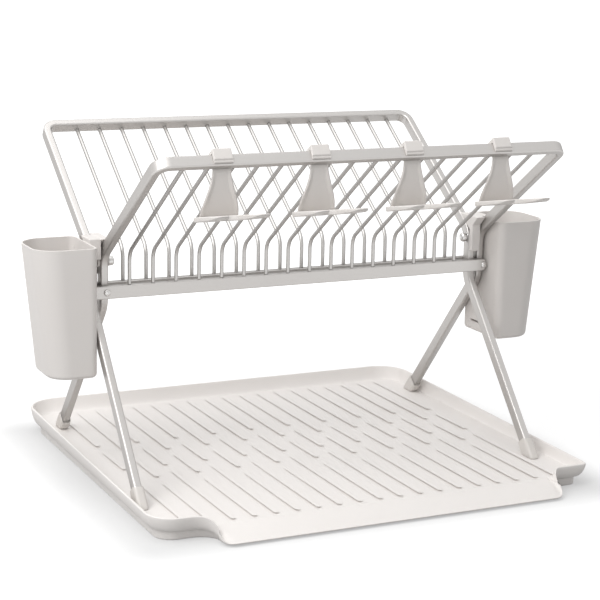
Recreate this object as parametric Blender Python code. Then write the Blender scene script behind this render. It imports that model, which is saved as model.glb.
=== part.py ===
"""Foldable dish rack: two crossed wing frames with wires, on a drip tray, in metres and +Z up.

X runs along the bars, -Y is the side with the spout and the glass holders, and the origin is
under the middle of the whole. The front wing frame carries the rear legs and the rear wing frame
is the same part turned half round, so one set of shapes, measured from the pivot, serves both.
"""

import math

import bmesh
import bpy
from mathutils import Matrix, Vector

for leftover in list(bpy.data.objects):
    bpy.data.objects.remove(leftover, do_unlink=True)

# Fits
seat_gap = 0.0003
cut_overrun = 0.002
joint_overlap = 0.0006

# Frame member, a flat tube
member_width = 0.012
member_thickness = 0.008
member_corner = 0.0016
member_gap = 0.0034
rack_half_width = 0.2276

# Frame, measured from the pivot
wing_bend_rise = 0.0064
leg_bend_drop = 0.044
wing_angle = math.radians(54.6)
wing_length = 0.1966
wing_corner_radius = 0.012
side_bend_radius = 0.026
leg_angle = math.radians(40.5)
leg_length = 0.2204

# Plate wires
wire_count = 16
wire_side_room = 0.0401
wire_diameter = 0.004
wire_bend_radius = 0.018
wire_drop = 0.0035

# Crossbars and their screws
bar_height = 0.0131
bar_depth = 0.0077
bar_corner = 0.0012
bar_top_drop = 0.0233
bar_end_inset = 0.0014
screw_head_diameter = 0.0062
screw_head_height = 0.0014
screw_shank_diameter = 0.003
screw_depth = 0.0055

# Pivot
bolt_diameter = 0.005
bolt_head_diameter = 0.0095
bolt_head_height = 0.0012
nut_diameter = 0.010
nut_length = 0.0062
nut_wall = 0.0015
washer_diameter = 0.0116
washer_thickness = 0.0008

# Foot caps
cap_length = 0.019
cap_side_wall = 0.001
cap_end_wall = 0.002
cap_sole_thickness = 0.0062
cap_corner = 0.003
cap_toe_chamfer = 0.0015

# Drip tray
tray_back = 0.209
tray_front = 0.2135
tray_back_radius = 0.035
tray_corner_radius = 0.027
tray_sharp_radius = 0.006
rim_height_back = 0.0285
rim_height_front = 0.024
rim_thickness = 0.0028
floor_height = 0.0133
floor_thickness = 0.003
skirt_height = 0.0085
skirt_inset = 0.0085
skirt_back_inset = 0.0165
skirt_thickness = 0.003
lip_flare = 0.0035
wall_side_run = 0.0042
wall_back_run = 0.008
wall_foot_rise = 0.006
foot_side_room = 0.0006
spout_left_room = 0.0575
spout_right_room = 0.0445
spout_length = 0.0305
spout_corner_radius = 0.013
spout_left_notch = 0.023
spout_right_notch = 0.012
spout_edge_height = 0.0042
spout_run = 0.034

# Ribs on the tray's floor
rib_count = 19
rib_side_room = 0.0367
rib_width = 0.0036
rib_height = 0.0016
rib_back_room = 0.019
rib_front_room = 0.0055
rib_gap = 0.019
rib_long_break = 0.055
rib_step = 0.034
rib_middle_length = 0.066

# Cutlery baskets
basket_width = 0.0622
basket_depth = 0.078
basket_foot_width = 0.0483
basket_foot_depth = 0.073
basket_height = 0.131
basket_rim_rise = 0.0205
basket_corner_radius = 0.026
basket_foot_radius = 0.022
basket_inner_radius = 0.008
basket_wall = 0.002
basket_foot_chamfer = 0.004
basket_standoff = 0.0014
basket_slot_rise = 0.012
basket_slot_height = 0.0025
basket_slot_length = 0.036
hook_rise = 0.025
hook_thickness = 0.0064
hook_front_drop = 0.014
hook_back_rise = 0.004
hook_nose = 0.010

# Glass holders
holder_wires = 4
holder_count = 4
clip_half_width = 0.0097
clip_lip_thickness = 0.0033
clip_lip_overlap = 0.0105
clip_top_thickness = 0.004
clip_back_thickness = 0.0026
neck_side_room = 0.0011
plate_half_width = 0.0187
plate_thickness = 0.0028
plate_bottom_drop = 0.0445
plate_set_back = 0.0065
fork_half_width = 0.0285
fork_reach = 0.064
fork_rise_angle = math.radians(10.0)
fork_thickness = 0.005
fork_top_rise = 0.0006
fork_slot_half_width = 0.009
fork_slot_length = 0.042
fork_shoulder = 0.014
fork_tip_radius = 0.007

# Shape tables, as shares of the sizes that they follow
plate_height_shares = (0.0, 0.25, 0.5, 0.75, 0.9, 1.0)
plate_flare_shares = (0.0, 0.06, 0.28, 0.72, 0.92, 1.0)
rim_drop_shares = (1.0, 1.0, 0.99, 0.95, 0.86, 0.72, 0.56)
spout_drop_shares = (0.34, 0.18, 0.08, 0.02, 0.0, 0.0, 0.0)
lip_share = 0.6

# Places that follow from the sizes above
pivot_height = floor_height + seat_gap + leg_bend_drop + leg_length * math.cos(leg_angle)
spout_reach = tray_front + spout_length
pivot_back = (spout_reach - tray_back) / 2
outer_side = rack_half_width - member_thickness / 2
inner_side = outer_side - member_thickness - member_gap
inner_face = inner_side - member_thickness / 2
arm_direction = Vector((0, -math.sin(wing_angle), math.cos(wing_angle)))
arm_normal = Vector((0, math.cos(wing_angle), math.sin(wing_angle)))
leg_direction = Vector((0, math.sin(leg_angle), -math.cos(leg_angle)))
leg_normal = Vector((0, math.cos(leg_angle), math.sin(leg_angle)))
wing_bend = Vector((0, 0, wing_bend_rise))
leg_bend = Vector((0, 0, -leg_bend_drop))
bar_back = member_width / 2 + seat_gap
bar_middle = bar_back + bar_depth / 2
bar_middle_drop = bar_top_drop + bar_height / 2
side_axis = Vector((1, 0, 0))
cap_reach = rack_half_width + cap_side_wall + seat_gap
tray_half_width = cap_reach + foot_side_room + wall_side_run + rim_thickness
spout_left = tray_half_width - spout_left_room
spout_right = tray_half_width - spout_right_room
rib_pitch = 2 * (tray_half_width - rib_side_room) / (rib_count - 1)
bar_half_length = rack_half_width - bar_end_inset
wire_pitch = 2 * (rack_half_width - wire_side_room) / (wire_count - 1)
holder_pitch = holder_wires * wire_pitch
neck_half_width = (wire_pitch - wire_diameter) / 2 - neck_side_room

bend_steps = 5
corner_steps = 7
round_steps = 16
wire_sides = 8
tray_corner_steps = 6


def make_material(name, colour, metallic, roughness):
    material = bpy.data.materials.new(name)
    material.use_nodes = True
    shader = material.node_tree.nodes["Principled BSDF"]
    shader.inputs["Base Color"].default_value = (*colour, 1)
    shader.inputs["Metallic"].default_value = metallic
    shader.inputs["Roughness"].default_value = roughness
    return material


def make_object(name, mesh, material, parent):
    """Adds an object for a mesh that is modelled around its parent's origin."""
    thing = bpy.data.objects.new(name, mesh)
    bpy.context.scene.collection.objects.link(thing)
    if material and not mesh.materials:
        mesh.materials.append(material)
    thing.parent = parent
    return thing


def make_empty(name, location, parent=None, turn=0.0):
    """Adds an empty; its location is measured from its parent's origin."""
    empty = bpy.data.objects.new(name, None)
    bpy.context.scene.collection.objects.link(empty)
    empty.parent = parent
    empty.location = location
    empty.rotation_euler = (0, 0, turn)
    return empty


def finish_mesh(name, shape):
    bmesh.ops.recalc_face_normals(shape, faces=shape.faces)
    mesh = bpy.data.meshes.new(name)
    shape.to_mesh(mesh)
    shape.free()
    return mesh


def loft_into(shape, rings):
    """Joins rings of equally many points into one closed surface with a face at each end."""
    loops = [[shape.verts.new(point) for point in ring] for ring in rings]
    for lower, upper in zip(loops, loops[1:]):
        for i in range(len(lower)):
            j = (i + 1) % len(lower)
            shape.faces.new((lower[i], lower[j], upper[j], upper[i]))
    shape.faces.new(list(reversed(loops[0])))
    shape.faces.new(loops[-1])


def loft(name, rings):
    shape = bmesh.new()
    loft_into(shape, rings)
    return finish_mesh(name, shape)


def prism_into(shape, outline, start, stop, place):
    """Adds a prism: place(u, v, w) puts an outline's point (u, v) at the distance w."""
    ends = [[place(u, v, w) for u, v in outline] for w in (start, stop)]
    loft_into(shape, ends)


def rounded_rectangle(width, height, radius, steps):
    """Points of a rounded rectangle around zero, anticlockwise from the right side."""
    radius = min(radius, width / 2, height / 2)
    points = []
    for turn, across, up in ((0, 1, 1), (1, -1, 1), (2, -1, -1), (3, 1, -1)):
        for step in range(steps + 1):
            angle = math.pi / 2 * (turn + step / steps)
            points.append(
                (
                    across * (width / 2 - radius) + radius * math.cos(angle),
                    up * (height / 2 - radius) + radius * math.sin(angle),
                )
            )
    return points


def round_rings(profile, steps):
    """Rings about the X axis from a profile of (distance along X, radius)."""
    rings = []
    for along, radius in profile:
        ring = []
        for step in range(steps):
            angle = math.tau * step / steps
            ring.append(Vector((along, radius * math.cos(angle), radius * math.sin(angle))))
        rings.append(ring)
    return rings


def round_profile(name, profile, steps):
    return loft(name, round_rings(profile, steps))


def filleted_path(corners, radii, steps):
    """Points and tangents along straight lines joined by arcs."""
    points = [corners[0]]
    tangents = [(corners[1] - corners[0]).normalized()]
    for before, corner, after, radius in zip(corners, corners[1:], corners[2:], radii):
        into = (corner - before).normalized()
        out = (after - corner).normalized()
        turn = into.angle(out)
        run = radius * math.tan(turn / 2)
        axis = into.cross(out).normalized()
        centre = corner - into * run + axis.cross(into) * radius
        for step in range(steps + 1):
            spin = Matrix.Rotation(turn * step / steps, 3, axis)
            points.append(centre + spin @ (corner - into * run - centre))
            tangents.append((spin @ into).normalized())
    points.append(corners[-1])
    tangents.append((corners[-1] - corners[-2]).normalized())
    return points, tangents


def cylinder_into(shape, start, direction, length, radius, steps):
    """Adds a closed cylinder to a cutter."""
    direction = direction.normalized()
    across = direction.orthogonal().normalized()
    up = direction.cross(across)
    rings = []
    for end in (start, start + direction * length):
        ring = []
        for step in range(steps):
            angle = math.tau * step / steps
            ring.append(end + across * radius * math.cos(angle) + up * radius * math.sin(angle))
        rings.append(ring)
    loft_into(shape, rings)


def boolean(thing, other, operation):
    modifier = thing.modifiers.new(other.name, "BOOLEAN")
    modifier.object = other
    modifier.operation = operation
    modifier.solver = "EXACT"


def hide_helper(helper):
    helper.hide_render = True
    helper.display_type = "WIRE"


def frame_mesh():
    """One wing with its two legs, swept along a single bent path around the pivot."""
    foot = leg_bend + leg_direction * (leg_length - cap_sole_thickness / math.cos(leg_angle))
    top = wing_bend + arm_direction * (wing_length - member_thickness / 2)
    left = -side_axis * inner_side
    right = side_axis * outer_side
    corners = [foot + left, leg_bend + left, wing_bend + left, top + left]
    corners += [top + right, wing_bend + right, leg_bend + right, foot + right]
    radii = [side_bend_radius, side_bend_radius, wing_corner_radius]
    radii += [wing_corner_radius, side_bend_radius, side_bend_radius]
    points, tangents = filleted_path(corners, radii, bend_steps)
    section = rounded_rectangle(member_thickness, member_width, member_corner, 2)
    rings = []
    for point, tangent in zip(points, tangents):
        if abs(tangent.x) > 1e-6:
            wide = arm_normal
        elif point.x < 0:
            wide = tangent.cross(side_axis)
        else:
            wide = side_axis.cross(tangent)
        thin = wide.cross(tangent)
        rings.append([point + thin * u + wide * v for u, v in section])
    return loft("wing_frame", rings)


def frame_cutter_mesh():
    """The pivot holes, the pocket for the bolt's head and the blind holes of the bar's screws."""
    shape = bmesh.new()
    hole = bolt_diameter / 2 + seat_gap
    half = member_thickness / 2 + cut_overrun
    pocket = rack_half_width - bolt_head_height - 2 * seat_gap
    pocket_radius = bolt_head_diameter / 2 + seat_gap
    loft_into(shape, round_rings([(-inner_side - half, hole), (-inner_side + half, hole)], round_steps))
    stepped = [(outer_side - half, hole), (pocket, hole), (pocket, pocket_radius)]
    stepped.append((outer_side + half, pocket_radius))
    loft_into(shape, round_rings(stepped, round_steps))
    return finish_mesh("frame_cutter", shape)


def screw_cutter_mesh():
    """The holes of one bar's two screws, through the bar and into the frame."""
    shape = bmesh.new()
    front = -(bar_back + bar_depth + cut_overrun)
    length = cut_overrun + bar_depth + seat_gap + screw_depth + seat_gap
    for side in (-inner_side, outer_side):
        start = Vector((side, front, -bar_middle_drop))
        radius = screw_shank_diameter / 2 + seat_gap
        cylinder_into(shape, start, Vector((0, 1, 0)), length, radius, round_steps // 2)
    return finish_mesh("screw_cutter", shape)


def bar_mesh():
    section = rounded_rectangle(bar_depth, bar_height, bar_corner, 2)
    rings = []
    for along in (-bar_half_length, bar_half_length):
        rings.append([Vector((along, -bar_middle + u, -bar_middle_drop + v)) for u, v in section])
    return loft("bar", rings)


def screw_mesh():
    """A domed screw, modelled along +X from its head's front and turned into place."""
    head = screw_head_diameter / 2
    shank = screw_shank_diameter / 2
    seat = screw_head_height
    tip = seat + seat_gap + bar_depth + seat_gap + screw_depth - seat_gap
    dome_shares = ((0.0, 0.55), (0.25, 0.85), (0.6, 1.0), (1.0, 1.0))
    profile = [(seat * along_share, head * radius_share) for along_share, radius_share in dome_shares]
    profile += [(seat, shank), (tip, shank)]
    return round_profile("bar_screw", profile, round_steps)


def wire_mesh():
    """A wire from the bar's top, up, over its bend and along the wing to the top bar."""
    top = in_wing(0, wing_length - member_thickness - seat_gap, -wire_drop)
    corner = top - arm_direction * ((bar_middle + top.y) / arm_direction.y)
    bottom = Vector((0, -bar_middle, -bar_top_drop + seat_gap))
    points, tangents = filleted_path([bottom, corner, top], [wire_bend_radius], bend_steps)
    rings = []
    for point, tangent in zip(points, tangents):
        up = side_axis.cross(tangent)
        ring = []
        for step in range(wire_sides):
            angle = math.tau * step / wire_sides
            radius = wire_diameter / 2
            ring.append(point + side_axis * radius * math.cos(angle) + up * radius * math.sin(angle))
        rings.append(ring)
    return loft("plate_wire", rings)


def cap_mesh():
    """A boot on the end of a leg, with a flat sole and a pocket that the leg stands in."""
    inner_thin = member_thickness + 2 * seat_gap
    inner_wide = member_width + 2 * seat_gap
    outer_thin = inner_thin + 2 * cap_side_wall
    outer_wide = inner_wide + 2 * cap_end_wall
    outer = rounded_rectangle(outer_thin, outer_wide, cap_corner, 3)
    inner = rounded_rectangle(inner_thin, inner_wide, member_corner, 3)
    sole_height = -leg_bend_drop - leg_length * math.cos(leg_angle)
    cuff = leg_bend + leg_direction * (leg_length - cap_length)
    end_distance = leg_length - cap_sole_thickness / math.cos(leg_angle) + seat_gap
    pocket = leg_bend + leg_direction * end_distance

    def across(centre, outline):
        return [centre + side_axis * u + leg_normal * v for u, v in outline]

    def on_level(outline, height):
        level = []
        for point in across(cuff, outline):
            level.append(point + leg_direction * ((height - point.z) / leg_direction.z))
        return level

    toe_share = 1 - 2 * cap_toe_chamfer / outer_wide
    sole = [(u * toe_share, v * toe_share) for u, v in outer]
    rings = [
        on_level(sole, sole_height),
        on_level(outer, sole_height + cap_toe_chamfer),
        across(cuff, outer),
        across(cuff, inner),
        across(pocket, inner),
    ]
    return loft("foot_cap", rings)


def bolt_mesh():
    """The bolt on the right, along X, with its head outside and its thread in the cap nut."""
    head_out = rack_half_width - seat_gap
    head_in = head_out - bolt_head_height
    tip = inner_face - washer_thickness - 2 * seat_gap - (nut_length - nut_wall) + seat_gap
    shank = bolt_diameter / 2
    profile = [(tip, shank), (head_in, shank), (head_in, bolt_head_diameter / 2)]
    profile += [(head_out, bolt_head_diameter / 2)]
    return round_profile("pivot_bolt", profile, round_steps)


def nut_mesh():
    """A domed cap nut with a blind hole towards the frame."""
    face = inner_face - washer_thickness - 2 * seat_gap
    outer = nut_diameter / 2
    hole = bolt_diameter / 2 + seat_gap
    back = face - nut_length
    dome_shares = ((0.0, 0.45), (0.06, 0.72), (0.2, 0.93), (0.4, 1.0))
    profile = [(face - (nut_length - nut_wall), hole), (face, hole), (face, outer)]
    for along_share, radius_share in reversed(dome_shares):
        profile.append((back + nut_length * along_share, outer * radius_share))
    return round_profile("pivot_cap_nut", profile, round_steps)


def ring_mesh(name, start, stop, diameter):
    """A plain ring around the pivot bolt between two distances along X."""
    shape = bmesh.new()
    rings = []
    for along, radius in (
        (start, bolt_diameter / 2 + seat_gap),
        (start, diameter / 2),
        (stop, diameter / 2),
        (stop, bolt_diameter / 2 + seat_gap),
    ):
        ring = []
        for step in range(round_steps):
            angle = math.tau * step / round_steps
            place = Vector((along, radius * math.cos(angle), radius * math.sin(angle)))
            ring.append(shape.verts.new(place))
        rings.append(ring)
    for lower, upper in zip(rings, rings[1:] + rings[:1]):
        for i in range(round_steps):
            j = (i + 1) % round_steps
            shape.faces.new((lower[i], lower[j], upper[j], upper[i]))
    return finish_mesh(name, shape)


def arc(centre, radius, start, stop, steps):
    """Points (x, y) of an arc, its angles in quarter turns."""
    points = []
    for step in range(steps + 1):
        angle = math.pi / 2 * (start + (stop - start) * step / steps)
        points.append((centre[0] + radius * math.cos(angle), centre[1] + radius * math.sin(angle)))
    return points


def tray_side(inset, back_inset, spout_y, spout_inset, front_radius, spout_x, notch):
    """Points of the tray's left side from back to spout, with their wall weights.

    A weight of 1 is full wall and 0 is the spout's edge.
    """
    half = tray_half_width - inset
    back = tray_back - back_inset
    front = -(tray_front - inset)
    back_radius = tray_back_radius - inset
    radius = max(front_radius - inset, tray_sharp_radius)
    spout_x = spout_x - spout_inset
    tip = min(spout_corner_radius, (front - spout_y) / 2)
    steps = tray_corner_steps
    points = arc((-half + back_radius, back - back_radius), back_radius, 1, 2, steps)
    points += arc((-half + radius, front + radius), radius, 2, 3, steps)
    weights = [1.0] * len(points)
    notch_height = min(notch, (front - spout_y) * rim_drop_shares[-1])
    for step in range(steps + 1):
        angle = math.pi / 2 * step / steps
        points.append(
            (
                -spout_x - notch + notch * math.sin(angle),
                front - notch_height * (1 - math.cos(angle)),
            )
        )
        weights.append(rim_drop_shares[step])
    for step, point in enumerate(arc((-spout_x + tip, spout_y + tip), tip, 2, 3, steps)):
        points.append(point)
        weights.append(spout_drop_shares[step])
    return points, weights


def tray_outline(inset, back_inset, spout_y, spout_inset):
    """The tray's outline: its left side from the back to the spout, then its right side back."""
    sizes = (inset, back_inset, spout_y, spout_inset)
    left, weights = tray_side(*sizes, tray_corner_radius, spout_left, spout_left_notch)
    right, right_weights = tray_side(*sizes, tray_sharp_radius, spout_right, spout_right_notch)
    points = left + [(-x, y) for x, y in reversed(right)]
    return points, weights + list(reversed(right_weights))


def tray_ring(inset, back_inset, wall_height, edge_height, spout_y, spout_inset):
    """One ring of the tray: wall_height(y) on the wall and edge_height at the spout."""
    points, weights = tray_outline(inset, back_inset, spout_y, spout_inset)
    ring = []
    for (x, y), weight in zip(points, weights):
        ring.append(Vector((x, y, edge_height + (wall_height(y) - edge_height) * weight)))
    return ring


def rim_height(y):
    share = (y + tray_front) / (tray_back + tray_front)
    return rim_height_front + (rim_height_back - rim_height_front) * share


def tray_mesh():
    """The tray as one thin shell, open underneath, lofted from its underside to its floor."""
    edge = -spout_reach
    flat = -spout_reach + spout_run
    under = floor_height - floor_thickness
    foot = rim_thickness + wall_side_run
    foot_back = rim_thickness + wall_back_run
    skirt_in = skirt_inset + skirt_thickness
    skirt_back_in = skirt_back_inset + skirt_thickness
    slope_height = (floor_height + spout_edge_height) / 2

    def level(height):
        return lambda y: height

    def wall_foot(y):
        return floor_height + wall_foot_rise

    rings = [
        tray_ring(
            skirt_in + rim_thickness, skirt_back_in + rim_thickness, level(under), under, flat, foot
        ),
        tray_ring(skirt_in, skirt_back_in, level(under), under / 4, edge + 2 * skirt_in, skirt_in),
        tray_ring(skirt_in, skirt_back_in, level(0), 0, edge + 2 * skirt_inset, skirt_inset),
        tray_ring(skirt_inset, skirt_back_inset, level(0), 0, edge + skirt_inset, skirt_inset / 2),
        tray_ring(
            skirt_inset,
            skirt_back_inset,
            level(skirt_height),
            spout_edge_height / 2,
            edge + skirt_inset / 2,
            skirt_inset / 2,
        ),
        tray_ring(
            lip_flare, lip_flare, level(skirt_height + lip_flare), spout_edge_height * lip_share, edge, 0
        ),
        tray_ring(0, 0, rim_height, spout_edge_height, edge, 0),
        tray_ring(
            rim_thickness, rim_thickness, rim_height, spout_edge_height, edge + rim_thickness, 0
        ),
        tray_ring(
            rim_thickness + wall_side_run / 3,
            rim_thickness + wall_back_run / 2,
            wall_foot,
            slope_height,
            edge + spout_run / 2,
            foot / 4,
        ),
        tray_ring(foot, foot_back, level(floor_height), floor_height, flat, foot / 2),
    ]
    return loft("drip_tray", rings)


def rib_into(shape, x, back, front):
    """One raised rib with rounded ends, from back to front along Y."""
    radius = rib_width / 2
    outline = arc((x, back - radius), radius, 0, 2, 4) + arc((x, front + radius), radius, 2, 4, 4)
    prism_into(
        shape,
        outline,
        floor_height - joint_overlap,
        floor_height + rib_height,
        lambda u, v, w: Vector((u, v, w)),
    )


def ribs_mesh():
    """The ribs in three rows, every second one broken further forward."""
    shape = bmesh.new()
    for i in range(rib_count):
        x = (i - (rib_count - 1) / 2) * rib_pitch
        first = rib_long_break - rib_step * (i % 2)
        second = first - rib_gap
        third = second - rib_middle_length
        rib_into(shape, x, tray_back - rib_back_room, first)
        rib_into(shape, x, second, third)
        rib_into(shape, x, third - rib_gap, rib_front_room - tray_front)
    return finish_mesh("ribs", shape)


def basket_mesh():
    """The cup of the basket on the right, tapered on three sides, around the pivot."""
    inner = rack_half_width + basket_standoff
    top = basket_rim_rise
    bottom = top - basket_height

    def ring(height, inset, share):
        """A level of the cup: share is 1 at the rim and 0 at the foot."""
        width = basket_foot_width + (basket_width - basket_foot_width) * share - 2 * inset
        depth = basket_foot_depth + (basket_depth - basket_foot_depth) * share - 2 * inset
        radius = basket_foot_radius + (basket_corner_radius - basket_foot_radius) * share - inset
        small = max(basket_inner_radius - inset, basket_wall)
        outline = arc((width - radius, depth / 2 - radius), radius, 0, 1, 6)
        outline += arc((small, depth / 2 - small), small, 1, 2, 3)
        outline += arc((small, small - depth / 2), small, 2, 3, 3)
        outline += arc((width - radius, radius - depth / 2), radius, 3, 4, 6)
        return [Vector((inner + inset + u, v, height)) for u, v in outline]

    chamfer_share = basket_foot_chamfer / basket_height
    floor = bottom + basket_wall
    rings = [
        ring(bottom, basket_foot_chamfer, 0),
        ring(bottom + basket_foot_chamfer, 0, chamfer_share),
        ring(top, 0, 1),
        ring(top, basket_wall, 1),
        ring(floor + basket_foot_chamfer, basket_wall, chamfer_share),
        ring(floor, basket_wall + basket_foot_chamfer, 0),
    ]
    return loft("cutlery_basket", rings)


def basket_slot_mesh():
    """The cutter of the drain slot low in the basket's inner wall."""
    shape = bmesh.new()
    inner = rack_half_width + basket_standoff
    middle = basket_rim_rise - basket_height + basket_slot_rise
    outline = rounded_rectangle(basket_slot_length, basket_slot_height, basket_slot_height, 3)
    start = inner - cut_overrun
    stop = inner + basket_wall + cut_overrun
    prism_into(shape, outline, start, stop, lambda u, v, w: Vector((w, u, middle + v)))
    return finish_mesh("basket_slot", shape)


def hook_mesh():
    """The basket's saddle: it sits in the V of the two arms, a tongue hanging on each side."""
    shape = bmesh.new()
    face = member_width / 2 + seat_gap
    corner_distance = face * (math.cos(wing_angle) - 1) / math.sin(wing_angle)
    corner_rise = wing_bend_rise + corner_distance * math.cos(wing_angle) + face * math.sin(wing_angle)
    top_run = (hook_rise - corner_rise) * math.tan(wing_angle) - face
    middle = inner_side + member_thickness / 2 + member_gap / 2
    wall = rack_half_width + basket_standoff + basket_wall / 2
    front_tongue = [
        (-face - hook_thickness, -hook_front_drop),
        (-face, -hook_front_drop),
        (-face, corner_rise),
        (top_run, hook_rise),
        (-face - hook_thickness - hook_nose, hook_rise),
        (-face - hook_thickness, hook_rise - hook_nose),
    ]
    back_tongue = [
        (face, hook_back_rise),
        (face + hook_thickness, hook_back_rise),
        (face + hook_thickness, hook_rise),
        (-top_run, hook_rise),
        (face, corner_rise),
    ]
    prism_into(
        shape, front_tongue, inner_face, middle + joint_overlap, lambda u, v, w: Vector((w, u, v))
    )
    front = finish_mesh("hook_front", shape)
    shape = bmesh.new()
    prism_into(shape, back_tongue, middle, wall, lambda u, v, w: Vector((w, u, v)))
    return front, finish_mesh("hook_back", shape)


def in_wing(x, along, over):
    """A point of the wing: its distance along the arm and over the arm's middle plane."""
    return wing_bend + arm_direction * along + arm_normal * over + side_axis * x


def clip_mesh():
    """The saddle of a glass holder, over the wing's top bar."""
    shape = bmesh.new()
    face = wing_length + seat_gap
    back = wing_length - member_thickness - seat_gap
    over = member_width / 2 + seat_gap
    outline = [
        (face, over - clip_lip_overlap - seat_gap),
        (face + clip_lip_thickness, over - clip_lip_overlap - seat_gap),
        (face + clip_lip_thickness, over + clip_top_thickness - clip_lip_thickness / 2),
        (face + clip_lip_thickness / 2, over + clip_top_thickness),
        (back - clip_back_thickness, over + clip_top_thickness),
        (back - clip_back_thickness, over - joint_overlap),
        (back, over - joint_overlap),
        (back, over),
        (face, over),
    ]
    prism_into(
        shape, outline, -clip_half_width, clip_half_width, lambda u, v, w: in_wing(w, u, v)
    )
    return finish_mesh("glass_holder", shape)


def plate_stations():
    """Places down the holder's plate, as (point, half width), in the plane x = 0."""
    behind = wing_length - member_thickness - seat_gap - clip_back_thickness / 2
    top = in_wing(0, behind, member_width / 2 + seat_gap + joint_overlap)
    knee = in_wing(0, behind, -member_width / 2)
    stations = [(top, neck_half_width)]
    for height_share, flare_share in zip(plate_height_shares, plate_flare_shares):
        point = knee + Vector((0, plate_set_back, -plate_bottom_drop)) * height_share
        width = neck_half_width + (plate_half_width - neck_half_width) * flare_share
        stations.append((point, width))
    return stations


def plate_mesh():
    """The neck between two wires and the flared plate below it."""
    stations = plate_stations()
    rings = []
    for i, (point, width) in enumerate(stations):
        before = stations[max(i - 1, 0)][0]
        after = stations[min(i + 1, len(stations) - 1)][0]
        through = (after - before).normalized().cross(side_axis) * plate_thickness / 2
        rings.append(
            [
                point - side_axis * width - through,
                point + side_axis * width - through,
                point + side_axis * width + through,
                point - side_axis * width + through,
            ]
        )
    return loft("holder_plate", rings)


def fork_mesh():
    """The fork that a glass's foot rests on, open to the front and rising a little."""
    shape = bmesh.new()
    bottom = plate_stations()[-1][0]
    forward = Vector((0, -math.cos(fork_rise_angle), math.sin(fork_rise_angle)))
    upward = forward.cross(side_axis)
    tip = fork_tip_radius
    slot_start = fork_reach - fork_slot_length
    half = [(0, -plate_thickness / 2), (plate_half_width, -plate_thickness / 2)]
    half += arc((plate_half_width, fork_shoulder), fork_half_width - plate_half_width, 3, 4, 4)
    half += arc((fork_half_width - tip, fork_reach - tip), tip, 0, 1, 4)
    prong_inner = fork_slot_half_width + tip / 2
    half += arc((prong_inner + tip / 2, fork_reach - tip), tip, 1, 2, 4)
    half += arc((0, slot_start), fork_slot_half_width, 0, -1, 4)
    right = half[1:-1]
    outline = right + [half[-1]] + [(-u, v) for u, v in reversed(right)]
    outline.append(half[0])
    prism_into(
        shape,
        outline,
        fork_top_rise - fork_thickness,
        fork_top_rise,
        lambda u, v, w: bottom + side_axis * u + forward * v + upward * w,
    )
    return finish_mesh("holder_fork", shape)


satin_metal = make_material("satin_metal", (0.56, 0.55, 0.53), 0.9, 0.38)
bright_metal = make_material("bright_metal", (0.68, 0.67, 0.65), 1.0, 0.25)
painted_wire = make_material("painted_wire", (0.60, 0.59, 0.57), 0.6, 0.4)
tray_plastic = make_material("tray_plastic", (0.80, 0.77, 0.74), 0.0, 0.5)
cup_plastic = make_material("cup_plastic", (0.72, 0.69, 0.66), 0.0, 0.5)
cap_plastic = make_material("cap_plastic", (0.66, 0.64, 0.60), 0.0, 0.45)

tray = make_object("drip_tray", tray_mesh(), tray_plastic, None)
ribs = make_object("tray_ribs", ribs_mesh(), None, None)
hide_helper(ribs)
boolean(tray, ribs, "UNION")
for piece in (tray, ribs):
    piece.location = (0, pivot_back, 0)

rack_axis = make_empty("rack_axis", (0, pivot_back, pivot_height))
wing_axes = (
    ("front", make_empty("front_wing_axis", (0, 0, 0), rack_axis)),
    ("rear", make_empty("rear_wing_axis", (0, 0, 0), rack_axis, math.pi)),
)
side_axes = (
    ("right", make_empty("right_side_axis", (0, 0, 0), rack_axis)),
    ("left", make_empty("left_side_axis", (0, 0, 0), rack_axis, math.pi)),
)

frame_shape = frame_mesh()
frame_cuts = frame_cutter_mesh()
screw_cuts = screw_cutter_mesh()
bar_shape = bar_mesh()
wire_shape = wire_mesh()
screw_shape = screw_mesh()
cap_shape = cap_mesh()
for wing, axis in wing_axes:
    frame = make_object(f"{wing}_wing_frame", frame_shape, satin_metal, axis)
    bar = make_object(f"{wing}_bar", bar_shape, satin_metal, axis)
    holes = make_object(f"{wing}_frame_holes", frame_cuts, None, axis)
    screw_holes = make_object(f"{wing}_screw_holes", screw_cuts, None, axis)
    for helper in (holes, screw_holes):
        hide_helper(helper)
    boolean(frame, holes, "DIFFERENCE")
    boolean(frame, screw_holes, "DIFFERENCE")
    boolean(bar, screw_holes, "DIFFERENCE")
    for i in range(wire_count):
        wire = make_object(f"{wing}_wire_{i + 1:02d}", wire_shape, painted_wire, axis)
        wire.location = ((i - (wire_count - 1) / 2) * wire_pitch, 0, 0)
    for place, side in (("inner", -inner_side), ("outer", outer_side)):
        screw = make_object(f"{wing}_bar_screw_{place}", screw_shape, bright_metal, axis)
        screw.rotation_euler = (0, 0, math.pi / 2)
        front = bar_back + bar_depth + seat_gap + screw_head_height
        screw.location = (side, -front, -bar_middle_drop)
        cap = make_object(f"{wing}_frame_foot_cap_{place}", cap_shape, cap_plastic, axis)
        cap.location = (side, 0, 0)

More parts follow.
